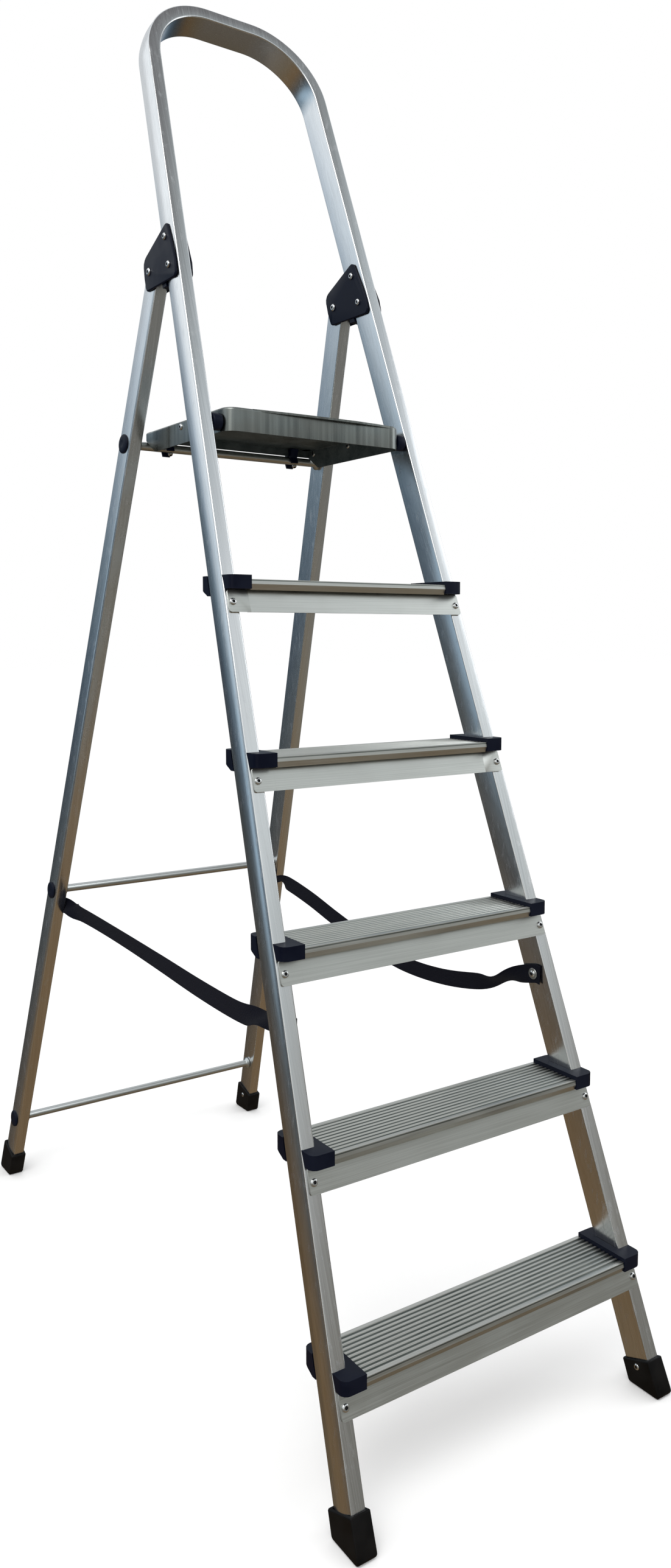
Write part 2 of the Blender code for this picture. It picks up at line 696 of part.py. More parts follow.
def make_platform():
    """Folded sheet tray, open underneath, with a lip at the front and one turned down at the rear."""
    low = PLATFORM_TOP_Z - PLATFORM_FLANGE

    def up(x, y, z):
        return Vector((x, y, z))

    shell = prism(platform_plan(0, PLATFORM_REAR_Y), up, low, PLATFORM_TOP_Z)
    tray = add_object("platform", shell, SHEET)
    lip_front = PLATFORM_FRONT_Y - 0.0055
    lip = [
        (-0.100, PLATFORM_FRONT_Y + 0.001), (-0.045, PLATFORM_FRONT_Y - 0.0035), (0.060, lip_front),
        (0.124, PLATFORM_FRONT_Y + 0.0005), (0.118, PLATFORM_FRONT_Y + 0.010), (-0.100, PLATFORM_FRONT_Y + 0.010),
    ]
    boolean(tray, prism(lip, up, PLATFORM_TOP_Z - 0.0016, PLATFORM_TOP_Z - 0.0001), "UNION")
    hollow = prism(platform_plan(PLATFORM_SHEET, PLATFORM_REAR_Y + 0.02), up,
                   low - 0.02, PLATFORM_TOP_Z - PLATFORM_SHEET)
    boolean(tray, hollow, "DIFFERENCE")
    cut = [
        (PLATFORM_REAR_Y - 0.028, low - 0.0001), (PLATFORM_REAR_Y + 0.012, low + 0.0258),
        (PLATFORM_REAR_Y + 0.012, low - 0.02), (PLATFORM_REAR_Y - 0.028, low - 0.02),
    ]
    boolean(tray, prism(cut, lambda y, z, x: Vector((x, y, z)), -0.2, 0.2), "DIFFERENCE")
    half = HOOK_X - HOOK_WIDTH / 2 - 0.002
    bottom = CROSSBAR_HEIGHTS["top"] + CROSSBAR_RADIUS + 0.0008
    rear_lip = box_mesh((-half, PLATFORM_REAR_Y - PLATFORM_SHEET, bottom),
                        (half, PLATFORM_REAR_Y - 0.0001, PLATFORM_TOP_Z - 0.0008))
    boolean(tray, rear_lip, "UNION")
    start = Vector((-0.2, PLATFORM_AXIS_Y, PLATFORM_AXIS_Z))
    boolean(tray, hole(start, Vector((1, 0, 0)), 0.4, PIN_RADIUS + PIN_CLEARANCE), "DIFFERENCE")
    boolean(tray, platform_grooves(), "DIFFERENCE")
    return tray


def make_platform_hook(name, side):
    """U-shaped plastic hook under the platform, which drops over the top crossbar."""
    z = CROSSBAR_HEIGHTS["top"]
    y = leg_y(z, TUBE_DEPTH / 2)
    under = PLATFORM_TOP_Z - PLATFORM_SHEET - GAP
    open_way = Vector((-0.42, -0.91)).normalized()
    across = Vector((-open_way.y, open_way.x))
    clear, wall, reach = CROSSBAR_RADIUS + 0.0008, 0.0028, 0.0085
    middle = Vector((y, z))
    arc = [math.radians(30 * k) for k in range(7)]
    inner = [middle + across * math.cos(t) * clear - open_way * math.sin(t) * clear for t in arc]
    first_tip = middle + across * clear + open_way * reach
    last_tip = middle - across * clear + open_way * reach
    outer_last = [last_tip - across * wall, middle - across * (clear + wall)]
    outer_first = [middle + across * (clear + wall), first_tip + across * wall]
    base = [Vector((y - 0.013, under)), Vector((y + 0.008, under))]
    outline = [first_tip, *inner, last_tip, *outer_last, base[0], base[1], *outer_first]

    def at(a, b, x):
        return Vector((side * x, a, b))

    mesh = prism([tuple(p) for p in outline], at, HOOK_X - HOOK_WIDTH / 2, HOOK_X + HOOK_WIDTH / 2)
    return add_object(f"platform_hook_{name}", mesh, PLASTIC)


def make_platform_bush(name, side):
    """Plastic spacer ring between the platform's flange and the stile."""
    inner = PLATFORM_HALF_WIDTH + 0.0005
    outer = stile_x(PLATFORM_AXIS_Z) - TUBE_WIDTH / 2 - 0.0010
    start = Vector((side * inner, PLATFORM_AXIS_Y, PLATFORM_AXIS_Z))
    length = outer - inner
    shell = [(0, BUSH_RADIUS - 0.001), (0.001, BUSH_RADIUS), (length - 0.001, BUSH_RADIUS),
             (length, BUSH_RADIUS - 0.001)]
    bush = add_object(f"platform_bush_{name}", turned(start, Vector((side, 0, 0)), shell, 18), PLASTIC)
    bore = start - Vector((side * 0.01, 0, 0))
    boolean(bush, hole(bore, Vector((side, 0, 0)), 0.04, PIN_RADIUS + PIN_CLEARANCE), "DIFFERENCE")


def make_platform_pin(name, side):
    """Headed pin from inside the stile, through the bush, to inside the flange."""
    start = platform_pin_start(side)
    reach = start.x * side - (PLATFORM_HALF_WIDTH - PLATFORM_SHEET - 0.0011)
    profile = [(-0.0018, 0.0045), (0, 0.0045), (0, PIN_RADIUS), (reach, PIN_RADIUS),
               (reach, 0.0048), (reach + 0.0012, 0.0048), (reach + 0.0024, 0.0030)]
    add_object(f"platform_pin_{name}", turned(start, Vector((-side, 0, 0)), profile, 12), RIVET_STEEL)


# Straps
def make_strap(name, side):
    """Webbing from a stile's inner face to a rear leg's, sagging between them."""
    front_y = stile_y(STRAP_FRONT_Z, 0.006)
    rear_y = leg_y(STRAP_REAR_Z, TUBE_DEPTH - 0.006)
    clearance = GAP + STRAP_THICKNESS / 2 + 0.0003
    front_x = stile_x(STRAP_FRONT_Z + STRAP_WIDTH) - TUBE_WIDTH / 2 - clearance
    rear_x = leg_x(STRAP_REAR_Z + STRAP_WIDTH) - LEG_WIDTH / 2 - clearance
    rings = []
    steps = 16
    for k in range(steps + 1):
        t = k / steps
        sag = 4 * STRAP_SAG[name] * t * (1 - t)
        z = STRAP_FRONT_Z + (STRAP_REAR_Z - STRAP_FRONT_Z) * t - sag
        x = side * (front_x + (rear_x - front_x) * t - 0.010 * math.sin(math.pi * t))
        centre = Vector((x, front_y + (rear_y - front_y) * t, z))
        outline = rectangle(STRAP_THICKNESS, STRAP_WIDTH, 0)
        rings.append(ring(centre, Vector((1, 0, 0)), UP, outline))
    add_object(f"strap_{name}", loft(rings), WEBBING)


def main():
    make_front_frame()
    hinge = pivot_empty("leg_hinge_axis", HINGE_Y, HINGE_Z)
    platform_axis = pivot_empty("platform_hinge_axis", PLATFORM_AXIS_Y, PLATFORM_AXIS_Z)
    rear_pieces = [make_crossbar(bar, z) for bar, z in CROSSBAR_HEIGHTS.items()]
    platform_pieces = [make_platform()]
    for step in range(STEP_COUNT):
        make_step(step)
    for name, side in SIDES.items():
        for step in range(STEP_COUNT):
            make_step_cap(step, name, side)
            make_step_rivet(step, name, side)
        make_hinge_plate(name, side, 1)
        make_hinge_plate(name, side, -1)
        make_hinge_pins(name, side)
        rear_pieces.append(make_rear_leg(name, side))
        for bar, z in CROSSBAR_HEIGHTS.items():
            rear_pieces.append(make_crossbar_cap(bar, z, name, side))
        make_boot(name, side, False)
        rear_pieces.append(make_boot(name, side, True))
        platform_pieces.append(make_platform_hook(name, side))
        make_platform_bush(name, side)
        make_platform_pin(name, side)
        make_strap(name, side)
    hang_on(rear_pieces, hinge)
    hang_on(platform_pieces, platform_axis)


main()
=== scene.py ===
"""Looks of a folding aluminium step ladder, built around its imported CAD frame.

The ladder faces -Y and stands on z = 0. Most pieces are finer versions of a CAD node that they
replace: tubes with smooth bends, moulded plastic with rounded edges, domed rivets and woven straps.
"""

import json
import math

import bmesh
import bpy
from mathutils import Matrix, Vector


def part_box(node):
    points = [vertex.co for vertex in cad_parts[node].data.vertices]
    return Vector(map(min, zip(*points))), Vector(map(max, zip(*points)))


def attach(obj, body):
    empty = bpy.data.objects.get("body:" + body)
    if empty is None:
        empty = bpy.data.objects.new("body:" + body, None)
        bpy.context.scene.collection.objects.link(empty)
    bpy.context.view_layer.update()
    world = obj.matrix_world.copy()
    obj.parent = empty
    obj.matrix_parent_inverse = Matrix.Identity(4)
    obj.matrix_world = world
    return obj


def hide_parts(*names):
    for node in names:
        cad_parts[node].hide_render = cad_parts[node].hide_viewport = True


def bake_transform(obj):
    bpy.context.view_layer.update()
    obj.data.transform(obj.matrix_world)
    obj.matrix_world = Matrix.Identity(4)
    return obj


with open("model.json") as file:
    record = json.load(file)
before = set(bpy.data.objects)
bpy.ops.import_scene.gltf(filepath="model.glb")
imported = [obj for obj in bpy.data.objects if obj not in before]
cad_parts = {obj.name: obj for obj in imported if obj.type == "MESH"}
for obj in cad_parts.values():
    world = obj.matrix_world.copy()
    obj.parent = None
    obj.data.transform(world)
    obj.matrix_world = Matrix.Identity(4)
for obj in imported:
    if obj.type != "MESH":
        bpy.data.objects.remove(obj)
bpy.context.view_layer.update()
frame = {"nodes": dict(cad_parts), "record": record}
BODY_OF = {n: b for b, names in frame["record"]["behaviour"]["bodies"].items() for n in names}

# Driving dimensions, which follow the CAD's
FRONT_LEAN = math.radians(19.9)
REAR_LEAN = math.radians(18.1)
FRONT_FOOT_Y = -0.5402
REAR_FOOT_Y = 0.5013
TUBE_DEPTH = 0.039
TUBE_WIDTH = 0.0185
LEG_WIDTH = 0.018
TUBE_END_Z = 0.020
STILE_HALF_SPACING = 0.2246
STILE_SPLAY = 0.0519
LEG_SPLAY = 0.0610
LEG_HALF_SPACING = 0.2366
OVERALL_HEIGHT = 1.8257
BOW_RADIUS = 0.10
HINGE_Z = 1.424
RISE = 0.21
FIRST_TREAD_TOP = 0.163
PLATFORM_TOP_Z = 1.2235
PLATFORM_FLANGE = 0.030
PLATFORM_HALF_WIDTH = 0.138
PLATFORM_FRONT_Y = -0.113
PLATFORM_REAR_Y = 0.128
PLATFORM_CORNER = 0.018
STRAP_WIDTH = 0.025

# Sizes of the finer detail
FRONT_CROWN = 0.0032               # how far the outside of a tube bulges
REAR_CROWN = 0.0020
LEG_LOW_Z = TUBE_END_Z - 0.006
LEG_MIDDLE_Z = 0.7
LEG_TOP_Z = HINGE_Z + 0.013
STEP_RIVET_REACH = 0.00165         # from the middle of a step rivet to the plate it sits on
STEP_RIVET_HEAD = 0.0044           # radius
STEP_RIVET_HEIGHT = 0.0022
THROUGH_RIVETS = {"hinge_rivet_upper": 0.0046, "hinge_rivet_lower": 0.0046, "hinge_pin": 0.0052}
THROUGH_RIVET_HEIGHT = 0.0024
SHANK_RADIUS = 0.0018
BAR_RADIUS = 0.006
COLLAR_RADIUS = 0.0100
SMALL_HEAD = 0.0042                # radius of the platform's rivet heads
SMALL_HEIGHT = 0.0020
FLANGE_RIVET_PLACES = {"middle": 0.017, "rear": 0.112}
FLANGE_RIVET_DROP = 0.0078         # below the platform's top
HOOK_SCREW_HEAD = 0.0036
HOOK_SCREW_HEIGHT = 0.0026
STRAP_THICKNESS = 0.0014
STRAP_EDGE = 0.0004                # thinned margin of the webbing
WASHER_RADIUS = 0.0074
STRAP_RIVET_HEAD = 0.0046
FRONT_BOOT_RIVET_Z = 0.0267
REAR_BOOT_RIVET_Z = 0.0306
FOOT_RIVET_HEAD = 0.0040
FOOT_RIVET_HEIGHT = 0.0018
BOOT_DEPTH = 0.0032                # how far a boot's inner side stands off the tube
CAP_ROUNDING = 0.0017
FOOT_ROUNDING = 0.0013
HOOK_ROUNDING = 0.0005
PLATE_ROUNDING = 0.0004
TREAD_ROUNDING = 0.00035
SHEET_THICKNESS = 0.0018
SHEET_BEND = 0.0030                # outer radius where the sheet turns down
SHEET_STEP = 0.0155                # from the rim's outside to where the flat top starts
FLANGE_SLOPE_LENGTH = 0.028
FLANGE_SLOPE = 0.647
REAR_LIP_HALF_WIDTH = 0.1364
REAR_LIP_Z = 1.2111
TOP_GROOVES = 15
GROOVE_DEPTH = 0.0005
GROOVE_MOUTH = 0.0022              # half of a groove's width at the top, and at its floor
GROOVE_FLOOR = 0.0014

FRONT = "front_assembly"
REAR = "rear_assembly"
PLATFORM = "platform_assembly"
SIDES = {"left": -1, "right": 1}
X = Vector((1, 0, 0))
UP = Vector((0, 0, 1))
FRONT_UP = Vector((0, math.sin(FRONT_LEAN), math.cos(FRONT_LEAN)))
FRONT_INTO = Vector((0, math.cos(FRONT_LEAN), -math.sin(FRONT_LEAN)))
REAR_INTO = Vector((0, math.cos(REAR_LEAN), math.sin(REAR_LEAN)))


# Shader building blocks
class Tree:
    """Short helpers to add nodes to a material or the world."""

    def __init__(self, tree):
        self.tree = tree

    def node(self, kind, **settings):
        made = self.tree.nodes.new(kind)
        for label, value in settings.items():
            setattr(made, label, value)
        return made

    def link(self, source, target):
        self.tree.links.new(source, target)

    def put(self, value, socket):
        if isinstance(value, (int, float)):
            socket.default_value = value
        else:
            self.link(value, socket)

    def math(self, operation, first, second=0.0, third=0.0):
        made = self.node("ShaderNodeMath", operation=operation)
        for socket, value in zip(made.inputs, (first, second, third)):
            self.put(value, socket)
        return made.outputs[0]

    def split(self, vector):
        made = self.node("ShaderNodeSeparateXYZ")
        self.link(vector, made.inputs[0])
        return made.outputs

    def noise(self, vector, scale, detail=3.0, roughness=0.5):
        """Noise with its own scale along each of the three directions."""
        stretch = self.node("ShaderNodeVectorMath", operation="MULTIPLY")
        self.link(vector, stretch.inputs[0])
        stretch.inputs[1].default_value = scale
        made = self.node("ShaderNodeTexNoise")
        self.link(stretch.outputs[0], made.inputs["Vector"])
        made.inputs["Scale"].default_value = 1.0
        made.inputs["Detail"].default_value = detail
        made.inputs["Roughness"].default_value = roughness
        return made.outputs["Fac"]

    def spread(self, value, low, high, to_low=0, to_high=1):
        made = self.node("ShaderNodeMapRange", interpolation_type="SMOOTHSTEP")
        for socket, number in zip(made.inputs, (value, low, high, to_low, to_high)):
            self.put(number, socket)
        return made.outputs[0]

    def blend(self, factor, first, second, mode="MIX"):
        made = self.node("ShaderNodeMix", data_type="RGBA", blend_type=mode)
        self.put(factor, made.inputs["Factor"])
        colours = [socket for socket in made.inputs if socket.type == "RGBA"]
        for socket, value in zip(colours, (first, second)):
            if isinstance(value, tuple):
                socket.default_value = (*value, 1)
            else:
                self.link(value, socket)
        return [socket for socket in made.outputs if socket.type == "RGBA"][0]

    def ramp(self, value, stops):
        """Colours by VALUE from -1 to 1, where STOPS gives some of them."""
        made = self.node("ShaderNodeValToRGB")
        self.link(self.math("MULTIPLY_ADD", value, 0.5, 0.5), made.inputs["Fac"])
        elements = made.color_ramp.elements
        while len(elements) < len(stops):
            elements.new(0.5)
        for element, (place, colour) in zip(elements, sorted(stops.items())):
            element.position = (place + 1) / 2
            element.color = (*colour, 1)
        return made.outputs["Color"]


class Shader(Tree):
    """A Principled material."""

    def __init__(self, name, **settings):
        self.material = bpy.data.materials.new(name)
        self.material.use_nodes = True
        super().__init__(self.material.node_tree)
        self.surface = self.tree.nodes["Principled BSDF"]
        for label, value in settings.items():
            self.surface.inputs[label.replace("_", " ")].default_value = value
        self.place = self.node("ShaderNodeTexCoord").outputs["Object"]

    def turned_place(self, angle):
        """Object coordinates turned about X, so that Z runs along a leaning tube."""
        made = self.node("ShaderNodeVectorRotate", rotation_type="X_AXIS")
        self.link(self.place, made.inputs["Vector"])
        made.inputs["Angle"].default_value = angle
        return made.outputs[0]

    def bump(self, height, strength, distance):
        made = self.node("ShaderNodeBump")
        made.inputs["Strength"].default_value = strength
        made.inputs["Distance"].default_value = distance
        self.link(height, made.inputs["Height"])
        self.link(made.outputs[0], self.surface.inputs["Normal"])

    def colour(self, value):
        self.link(value, self.surface.inputs["Base Color"])

    def roughness(self, value):
        self.link(value, self.surface.inputs["Roughness"])


def extruded_aluminium(name, colour, roughness, grain, tilt=0.0, depth=0.00003):
    """Extrusion: fine die lines along its length, faint cloudy patches and handling marks."""
    s = Shader(name, Metallic=1.0)
    place = s.turned_place(tilt)
    lines = s.noise(place, grain, 4.0, 0.65)
    clouds = s.noise(s.place, (14, 14, 9), 3.0)
    marks = s.noise(s.place, (160, 160, 45), 2.0)
    dark = tuple(0.90 * c for c in colour)
    light = tuple(min(1.0, 1.06 * c) for c in colour)
    tone = s.blend(s.spread(lines, 0.3, 0.7, 0, 1), dark, light)
    s.colour(s.blend(s.spread(clouds, 0.35, 0.7, 0, 0.35), tone, tuple(0.9 * c for c in colour)))
    rough = s.spread(lines, 0.25, 0.75, roughness - 0.03, roughness + 0.04)
    s.roughness(s.math("ADD", rough, s.spread(marks, 0.55, 0.75, 0, 0.10)))
    s.bump(lines, 0.05, depth)
    return s.material


def ribbed_tread():
    """Tread metal whose grooves are painted dark grey as shade, and whose ridge tops are rubbed bright."""
    s = Shader("tread_aluminium", Metallic=1.0)
    above = s.math("SUBTRACT", s.split(s.place)["Z"], FIRST_TREAD_TOP - RISE / 2)
    within = s.math("SUBTRACT", s.math("MODULO", above, RISE), RISE / 2)
    ridge = s.spread(within, -0.0011, -0.0004, 0, 1)
    near_top = s.spread(within, -0.0024, -0.0016, 0, 1)
    lines = s.noise(s.place, (7, 900, 900), 4.0, 0.6)
    clouds = s.noise(s.place, (18, 60, 18), 3.0)
    plain = s.blend(s.spread(lines, 0.3, 0.7, 0, 1), (0.60, 0.61, 0.58), (0.72, 0.73, 0.70))
    # Painted shade: the grooves below the ridge tops are painted dark grey.
    groove_painted_shade = s.blend(s.spread(clouds, 0.3, 0.7, 0, 1), (0.15, 0.17, 0.16), (0.24, 0.26, 0.245))
    rubbed = s.blend(s.spread(lines, 0.3, 0.7, 0, 1), (0.58, 0.58, 0.54), (0.70, 0.70, 0.66))
    s.colour(s.blend(near_top, plain, s.blend(ridge, groove_painted_shade, rubbed)))
    s.roughness(s.math("ADD", s.spread(lines, 0.25, 0.75, 0.30, 0.44), s.spread(clouds, 0.4, 0.7, 0, 0.08)))
    s.bump(lines, 0.3, 0.00003)
    return s.material


def folded_sheet():
    """Grey-green rolled sheet with upright bands of light and dark, and a faint greasy bloom."""
    s = Shader("platform_sheet", Metallic=1.0)
    bands = s.noise(s.place, (150, 150, 3), 3.0, 0.6)
    broad = s.noise(s.place, (34, 34, 2), 2.0)
    bloom = s.noise(s.place, (16, 16, 40), 3.0)
    tone = s.blend(s.spread(bands, 0.3, 0.7), (0.17, 0.19, 0.19), (0.30, 0.33, 0.32))
    tone = s.blend(s.spread(broad, 0.50, 0.72, 0, 0.6), tone, (0.46, 0.50, 0.49))
    s.colour(s.blend(s.spread(bloom, 0.35, 0.7, 0, 0.4), tone, (0.24, 0.235, 0.215)))
    s.roughness(s.math("ADD", s.spread(bands, 0.25, 0.75, 0.20, 0.32), s.spread(bloom, 0.4, 0.7, 0, 0.08)))
    s.bump(bands, 0.2, 0.0001)
    return s.material


def moulded_plastic(name, colour, worn, roughness):
    """Near-black moulded plastic with a fine spark-eroded grain and lighter rubbed patches."""
    s = Shader(name, Specular_IOR_Level=0.16)
    grain = s.noise(s.place, (1500, 1500, 1500), 2.0)
    scuffs = s.noise(s.place, (70, 260, 90), 4.0, 0.6)
    clouds = s.noise(s.place, (30, 30, 30), 2.0)
    tone = s.blend(s.spread(clouds, 0.3, 0.7, 0, 0.5), colour, worn)
    s.colour(s.blend(s.spread(scuffs, 0.62, 0.8, 0, 0.5), tone, worn))
    s.roughness(s.math("ADD", s.spread(clouds, 0.3, 0.7, roughness - 0.06, roughness + 0.06),
                       s.spread(scuffs, 0.6, 0.8, 0, 0.12)))
    s.bump(grain, 0.25, 0.00004)
    return s.material


def plated_steel(name, colour, roughness, grain=(900, 900, 900)):
    """Bright plate with faint swirls and duller spots."""
    s = Shader(name, Metallic=1.0)
    swirl = s.noise(s.place, grain, 3.0, 0.6)
    spots = s.noise(s.place, (120, 240, 240), 3.0)
    tone = s.blend(s.spread(swirl, 0.3, 0.7, 0, 1), tuple(0.88 * c for c in colour), colour)
    s.colour(s.blend(s.spread(spots, 0.55, 0.75, 0, 0.4), tone, tuple(0.72 * c for c in colour)))
    s.roughness(s.spread(swirl, 0.25, 0.75, roughness - 0.04, roughness + 0.08))
    s.bump(swirl, 0.15, 0.00002)
    return s.material


def woven_webbing():
    """Flat webbing: herringbone ribs across it and finer yarns along it."""
    s = Shader("woven_webbing", Sheen_Weight=0.02, Sheen_Roughness=0.5, Specular_IOR_Level=0.12)
    uv = s.node("ShaderNodeUVMap", uv_map="weave").outputs[0]
    across, along = s.split(uv)["X"], s.split(uv)["Y"]
    yarns = s.math("SINE", s.math("MULTIPLY", across, 2 * math.pi / 0.0016))
    slant = s.math("PINGPONG", across, 0.0062)
    ribs = s.math("SINE", s.math("MULTIPLY", s.math("ADD", along, slant), 2 * math.pi / 0.0022))
    height = s.math("MULTIPLY_ADD", ribs, 0.6, yarns)
    fuzz = s.noise(s.place, (2600, 2600, 2600), 2.0)
    both = s.math("MULTIPLY_ADD", fuzz, 0.8, height)
    # Painted shade: the colour is darker in the weave's low parts and lighter on its high ribs and yarns.
    s.colour(s.blend(s.spread(height, -1.2, 1.4, 0, 1), (0.0008, 0.0010, 0.0034), (0.0050, 0.0060, 0.0150)))
    s.roughness(s.spread(fuzz, 0.3, 0.7, 0.72, 0.92))
    s.bump(both, 0.6, 0.00022)
    return s.material


def sheet_inside_painted_shade():
    """The sheet's dull, dusty inside, painted much darker than the outside as shade."""
    s = Shader("platform_inside_painted_shade", Metallic=0.7)
    dust = s.noise(s.place, (60, 60, 60), 4.0, 0.6)
    rolled = s.noise(s.place, (12, 400, 400), 3.0)
    tone = s.blend(s.spread(dust, 0.3, 0.7), (0.045, 0.058, 0.056), (0.090, 0.105, 0.100))
    s.colour(s.blend(s.spread(rolled, 0.4, 0.7, 0, 0.4), tone, (0.12, 0.13, 0.125)))
    s.roughness(s.spread(dust, 0.3, 0.7, 0.38, 0.55))
    s.bump(dust, 0.15, 0.0001)
    return s.material


def dark_hollow():
    """The unlit hole in the middle of a pulled rivet."""
    s = Shader("rivet_hollow", Metallic=0.6)
    spots = s.noise(s.place, (800, 800, 800), 2.0)
    s.colour(s.blend(spots, (0.004, 0.004, 0.005), (0.03, 0.03, 0.034)))
    s.roughness(s.spread(spots, 0.3, 0.7, 0.35, 0.6))
    return s.material


def pale_floor():
    s = Shader("pale_floor", Specular_IOR_Level=0.0, Emission_Color=(1, 1, 1, 1), Emission_Strength=0.07)
    speckle = s.noise(s.place, (40, 40, 40), 3.0)
    s.colour(s.blend(speckle, (0.95, 0.95, 0.95), (0.97, 0.97, 0.97)))
    s.roughness(s.spread(speckle, 0.3, 0.7, 0.80, 0.95))
    return s.material


TUBE_METAL = {
    FRONT: extruded_aluminium("front_aluminium", (0.84, 0.85, 0.86), 0.22, (700, 700, 5), FRONT_LEAN),
    REAR: extruded_aluminium("rear_aluminium", (0.84, 0.85, 0.86), 0.24, (700, 700, 5), -REAR_LEAN),
}
TREAD_METAL = ribbed_tread()
SHEET_METAL = folded_sheet()
SHEET_INSIDE_PAINTED_SHADE = sheet_inside_painted_shade()
NAVY_PLASTIC = moulded_plastic("navy_plastic", (0.0008, 0.0022, 0.0100), (0.0040, 0.0070, 0.0190), 0.42)
BOOT_PLASTIC = moulded_plastic("boot_plastic", (0.0020, 0.0018, 0.0020), (0.0100, 0.0085, 0.0075), 0.48)
ZINC = plated_steel("bright_zinc", (0.70, 0.72, 0.71), 0.30, (8, 700, 700))
RIVET_STEEL = plated_steel("rivet_steel", (0.88, 0.88, 0.88), 0.16)
HOLLOW = dark_hollow()
WEBBING = woven_webbing()


# Mesh building blocks
def mesh_from(vertices, faces):
    mesh = bpy.data.meshes.new("mesh")
    mesh.from_pydata([tuple(v) for v in vertices], [], faces)
    work = bmesh.new()
    work.from_mesh(mesh)
    bmesh.ops.recalc_face_normals(work, faces=work.faces)
    work.to_mesh(mesh)
    work.free()
    return mesh


def loft(rings):
    """A closed mesh through equal rings of points, with its two ends filled."""
    count = len(rings[0])
    vertices = [point for ring in rings for point in ring]
    faces = []
    for start in range(0, len(vertices) - count, count):
        for i in range(count):
            j = (i + 1) % count
            faces.append((start + i, start + j, start + count + j, start + count + i))
    faces.append(tuple(range(count))[::-1])
    faces.append(tuple(range(len(vertices) - count, len(vertices))))
    return mesh_from(vertices, faces)


def ring(centre, across, into, outline):
    return [centre + across * a + into * b for a, b in outline]


def turned_mesh(start, direction, profile, sides=36):
    """A solid of revolution: PROFILE is (distance along DIRECTION, radius) from end to end."""
    axis = direction.normalized()
    across = axis.orthogonal().normalized()
    other = axis.cross(across)
    turns = [2 * math.pi * k / sides for k in range(sides)]
    rings = []
    for along, radius in profile:
        centre = start + axis * along
        rings.append([centre + (across * math.cos(t) + other * math.sin(t)) * radius for t in turns])
    return loft(rings)


def add_object(name, mesh, materials, smooth_angle):
    for finish in materials:
        mesh.materials.append(finish)
    mesh.shade_smooth()
    mesh.set_sharp_from_angle(angle=math.radians(smooth_angle))
    piece = bpy.data.objects.new(name, mesh)
    bpy.context.collection.objects.link(piece)
    return piece


def add_piece(name, mesh, materials, body, smooth_angle=40):
    piece = add_object(name, mesh, materials, smooth_angle)
    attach(piece, body)
    return piece


def stand_for(piece, node):
    """PIECE is shown in place of a CAD node, which is hidden; PIECE itself is not used."""
    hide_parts(node)


def middle_of(node):
    low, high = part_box(node)
    return (Vector(low) + Vector(high)) / 2


def refined(node, finish, width, segments=3):
    """Show a CAD node's copy, with its flat faces merged again and its edges rounded."""
    mesh = frame["nodes"][node].data.copy()
    mesh.materials.clear()
    work = bmesh.new()
    work.from_mesh(mesh)
    bmesh.ops.remove_doubles(work, verts=work.verts, dist=0.000004)
    bmesh.ops.dissolve_limit(work, angle_limit=math.radians(1.5), verts=work.verts, edges=work.edges)
    work.to_mesh(mesh)
    work.free()
    piece = add_piece(f"{node}_fine", mesh, [finish], BODY_OF[node])
    rounding = piece.modifiers.new("rounding", "BEVEL")
    rounding.width = width
    rounding.segments = segments
    rounding.limit_method = "ANGLE"
    rounding.angle_limit = math.radians(38)
    rounding.miter_outer = "MITER_ARC"
    stand_for(piece, node)


# Tubes
def stile_x(z):
    return STILE_HALF_SPACING - STILE_SPLAY * z


def leg_x(z):
    return LEG_HALF_SPACING - LEG_SPLAY * z


def arc(centre, radius, start, end, steps):
    turns = [math.radians(start + (end - start) * k / steps) for k in range(steps + 1)]
    return [(centre[0] + radius * math.cos(t), centre[1] + radius * math.sin(t)) for t in turns]


def tube_section(width, crown):
    """Tube section as (across, into): flat inside and front, a fine ridge, then the crowned outside."""
    w, d, corner, rear = width / 2, TUBE_DEPTH / 2, 0.0022, 0.0055
    points = arc((-w + corner, -d + corner), corner, 180, 270, 5)
    points += arc((w - 0.0024, -d + 0.0021), 0.0021, 270, 350, 6)
    points.append((w - 0.0010, -d + 0.0034))
    steps = 9
    for k in range(steps + 1):
        b = -d + 0.0042 + (TUBE_DEPTH - 0.0042 - rear) * k / steps
        points.append((w - 0.6 * crown + crown * (1 - (b / d) ** 2), b))
    edge = points[-1][0]
    points += arc((edge - rear, d - rear), rear, 14, 90, 7)
    return points + arc((-w + corner, d - corner), corner, 90, 180, 5)


def bow_stations():
    """Centre line of the bent tube as (x, distance up the slope, outward direction)."""
    slope = STILE_SPLAY * math.cos(FRONT_LEAN)
    foot_x = STILE_HALF_SPACING + STILE_SPLAY * math.sin(FRONT_LEAN) * TUBE_DEPTH / 2
    turn = math.atan(slope)
    top = OVERALL_HEIGHT / math.cos(FRONT_LEAN) - TUBE_WIDTH / 2
    centre_s = top - BOW_RADIUS
    centre_x = foot_x - slope * (centre_s + BOW_RADIUS * math.sin(turn)) - BOW_RADIUS * math.cos(turn)
    bottom = TUBE_END_Z / math.cos(FRONT_LEAN)
    half = [(foot_x - slope * bottom, bottom, turn)]
    steps = 28
    for k in range(steps + 1):
        angle = turn + (math.pi / 2 - turn) * k / steps
        half.append((centre_x + BOW_RADIUS * math.cos(angle), centre_s + BOW_RADIUS * math.sin(angle), angle))
    right = [(x, s, X * math.cos(a) + FRONT_UP * math.sin(a)) for x, s, a in half]
    left = [(-x, s, -X * math.cos(a) + FRONT_UP * math.sin(a)) for x, s, a in reversed(half)]
    return right + left


def make_front_tube():
    outline = tube_section(TUBE_WIDTH, FRONT_CROWN)
    rings = []
    for x, s, outward in bow_stations():
        centre = Vector((x, FRONT_FOOT_Y, 0)) + FRONT_UP * s + FRONT_INTO * (TUBE_DEPTH / 2)
        rings.append(ring(centre, outward, FRONT_INTO, outline))
    tube = add_piece("front_tube", loft(rings), [TUBE_METAL[FRONT]], FRONT)
    stand_for(tube, "front_frame")


